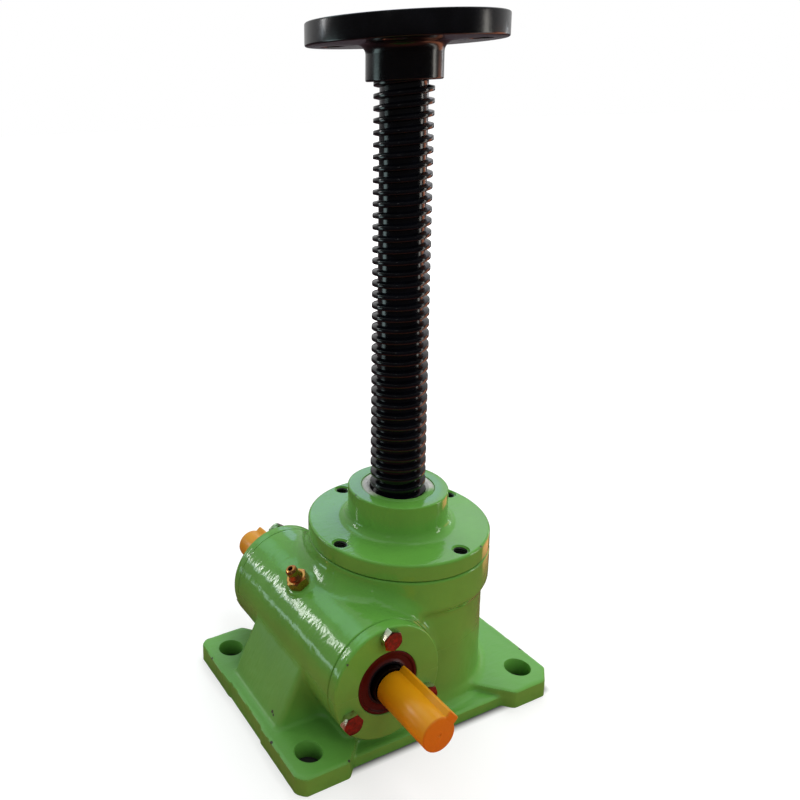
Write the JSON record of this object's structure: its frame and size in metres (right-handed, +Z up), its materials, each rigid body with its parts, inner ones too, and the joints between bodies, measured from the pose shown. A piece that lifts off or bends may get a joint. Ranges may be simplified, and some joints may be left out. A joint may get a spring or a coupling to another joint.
{
  "type": "worm screw jack",
  "caption": "Base-mounted worm gear screw jack: a double-ended worm shaft drives a nut wheel that raises a trapezoidal screw with a round head plate.",
  "frame": {"origin": "on the screw axis, in the plane of the base's underside", "axes": "+Z up along the lifting screw; the worm shaft runs along Y on the -X side, its front end towards -Y"},
  "size_m": [0.165, 0.1896, 0.364],
  "materials": {
    "green_enamel": "gloss",
    "black_finish": "gloss",
    "ground_steel": "ground",
    "bronze": "machined",
    "brass": "satin",
    "zinc_plate": "yellow zinc plated",
    "seal_rubber": "satin",
    "wiper_felt": "matt",
    "shim": "matt",
    "cap_plastic": "satin"
  },
  "bodies": {
    "housing_body": {"housing": "green_enamel", "top_cover": "green_enamel", "wiper_ring": "wiper_felt", "upper_guide_bush": "bronze", "lower_guide_bush": "bronze", "cover_lock_screw": "ground_steel", "grease_nipple": "brass", "upper_thrust_seat_race": "ground_steel", "lower_thrust_seat_race": "ground_steel", "front_bearing_cup": "ground_steel", "rear_bearing_cup": "ground_steel", "front_worm_cover": "green_enamel", "rear_worm_cover": "green_enamel", "front_cover_shim": "shim", "rear_cover_shim": "shim", "front_cover_bolts": "zinc_plate", "rear_cover_bolts": "zinc_plate", "front_shaft_seal": "seal_rubber", "rear_shaft_seal": "seal_rubber"},
    "worm": {"worm_shaft": "ground_steel", "front_bearing_cone": "ground_steel", "rear_bearing_cone": "ground_steel", "front_key": "ground_steel", "rear_key": "ground_steel"},
    "wheel": {"worm_wheel": "bronze", "upper_thrust_wheel_race": "ground_steel", "lower_thrust_wheel_race": "ground_steel"},
    "screw": {"lifting_screw": "black_finish", "travel_stop_ring": "ground_steel", "stop_ring_pin": "ground_steel", "head_plate": "black_finish", "head_lock_screw": "black_finish"},
    "upper_ball_train": {"upper_thrust_balls": "ground_steel", "upper_thrust_cage": "brass"},
    "lower_ball_train": {"lower_thrust_balls": "ground_steel", "lower_thrust_cage": "brass"},
    "front_roller_train": {"front_bearing_rollers": "ground_steel", "front_bearing_cage": "brass"},
    "rear_roller_train": {"rear_bearing_rollers": "ground_steel", "rear_bearing_cage": "brass"},
    "front_cap": {"front_shaft_cap": "cap_plastic"},
    "rear_cap": {"rear_shaft_cap": "cap_plastic"}
  },
  "joints": [
    {"name": "worm_spin", "type": "hinge", "parent": "housing_body", "child": "worm", "pos_m": [-0.046, 0, 0.043], "axis": [0, 1, 0], "range_deg": [-1440.5, 288000.5]},
    {"name": "wheel_spin", "type": "hinge", "parent": "housing_body", "child": "wheel", "pos_m": [0, 0, 0.043], "axis": [0, 0, 1], "range_deg": [-60.02, 12000.02]},
    {"name": "screw_slide", "type": "slide", "parent": "housing_body", "child": "screw", "axis": [0, 0, 1], "range_m": [-0.2, 0.001]},
    {"name": "upper_ball_orbit", "type": "hinge", "parent": "housing_body", "child": "upper_ball_train", "pos_m": [0, 0, 0.0675], "axis": [0, 0, 1], "range_deg": [-30.02, 6000.02]},
    {"name": "lower_ball_orbit", "type": "hinge", "parent": "housing_body", "child": "lower_ball_train", "pos_m": [0, 0, 0.0185], "axis": [0, 0, 1], "range_deg": [-30.02, 6000.02]},
    {"name": "front_roller_orbit", "type": "hinge", "parent": "housing_body", "child": "front_roller_train", "pos_m": [-0.046, -0.038, 0.043], "axis": [0, 1, 0], "range_deg": [-623.62, 124704.1]},
    {"name": "rear_roller_orbit", "type": "hinge", "parent": "housing_body", "child": "rear_roller_train", "pos_m": [-0.046, 0.038, 0.043], "axis": [0, 1, 0], "range_deg": [-623.62, 124704.1]},
    {"name": "front_cap_pull", "type": "slide", "parent": "worm", "child": "front_cap", "axis": [0, -1, 0], "range_m": [0, 0.045]},
    {"name": "rear_cap_pull", "type": "slide", "parent": "worm", "child": "rear_cap", "axis": [0, 1, 0], "range_m": [0, 0.045]}
  ],
  "couplings": [
    {"joint": "worm_spin", "follows": "screw_slide", "rad_per_m": -25133},
    {"joint": "wheel_spin", "follows": "screw_slide", "rad_per_m": -1047.2},
    {"joint": "upper_ball_orbit", "follows": "screw_slide", "rad_per_m": -523.6},
    {"joint": "lower_ball_orbit", "follows": "screw_slide", "rad_per_m": -523.6},
    {"joint": "front_roller_orbit", "follows": "screw_slide", "rad_per_m": -10882},
    {"joint": "rear_roller_orbit", "follows": "screw_slide", "rad_per_m": -10882}
  ]
}
